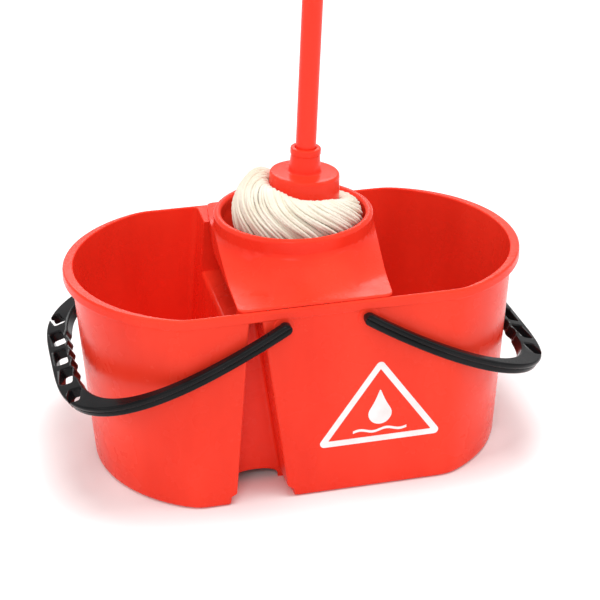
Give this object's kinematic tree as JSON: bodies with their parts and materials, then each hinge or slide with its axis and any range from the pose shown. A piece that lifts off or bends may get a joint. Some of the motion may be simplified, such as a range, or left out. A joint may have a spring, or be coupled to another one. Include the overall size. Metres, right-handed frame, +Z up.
{
  "type": "mop and bucket with wringer",
  "caption": "Oval twin-tank mop bucket with a lift-out cone wringer over its middle, folding side bails and a string mop with a screw-in handle.",
  "frame": {"origin": "middle of the bucket on the surface it stands on", "axes": "+Z up, +X along the bucket's length towards the larger tank, +Y to the back"},
  "size_m": [0.5488, 0.3178, 1.5745],
  "materials": {
    "red_plastic": "glossy moulded",
    "black_plastic": "satin moulded",
    "white_print": "printed",
    "cotton_yarn": "twisted cotton",
    "red_coat": "plastic coated",
    "zinc_steel": "zinc plated"
  },
  "bodies": {
    "bucket": {"bucket": "red_plastic", "slip_sign": "white_print"},
    "left_bail": {"left_bail": "black_plastic"},
    "right_bail": {"right_bail": "black_plastic"},
    "wringer": {"wringer": "red_plastic"},
    "mop_yarn": {"mop_yarn": "cotton_yarn"},
    "mop_head": {"mop_socket": "red_plastic", "yarn_retainer": "zinc_steel"},
    "handle": {"threaded_end": "black_plastic", "handle_tube": "red_coat", "hang_cap": "red_plastic"}
  },
  "joints": [
    {"name": "left_bail_pivot", "type": "hinge", "parent": "bucket", "child": "left_bail", "pos_m": [-0.045, 0, 0.211], "axis": [0, 1, 0], "range_deg": [0, 110]},
    {"name": "right_bail_pivot", "type": "hinge", "parent": "bucket", "child": "right_bail", "pos_m": [0.045, 0, 0.211], "axis": [0, -1, 0], "range_deg": [0, 113.6]},
    {"name": "wringer_lift", "type": "slide", "parent": "bucket", "child": "wringer", "axis": [0, 0, 1], "range_m": [0, 0.345]},
    {"name": "mop_lift", "type": "slide", "parent": "wringer", "child": "mop_yarn", "axis": [0.0523, 0, 0.9986], "range_m": [0, 0.345]},
    {"name": "mop_twist", "type": "hinge", "parent": "mop_yarn", "child": "mop_head", "pos_m": [0.0124, 0, 0.305], "axis": [0.0523, 0, 0.9986], "range_deg": [-120, 120]},
    {"name": "handle_unscrew", "type": "hinge", "parent": "mop_head", "child": "handle", "pos_m": [0.0124, 0, 0.305], "axis": [0.0523, 0, 0.9986], "continuous": true}
  ]
}
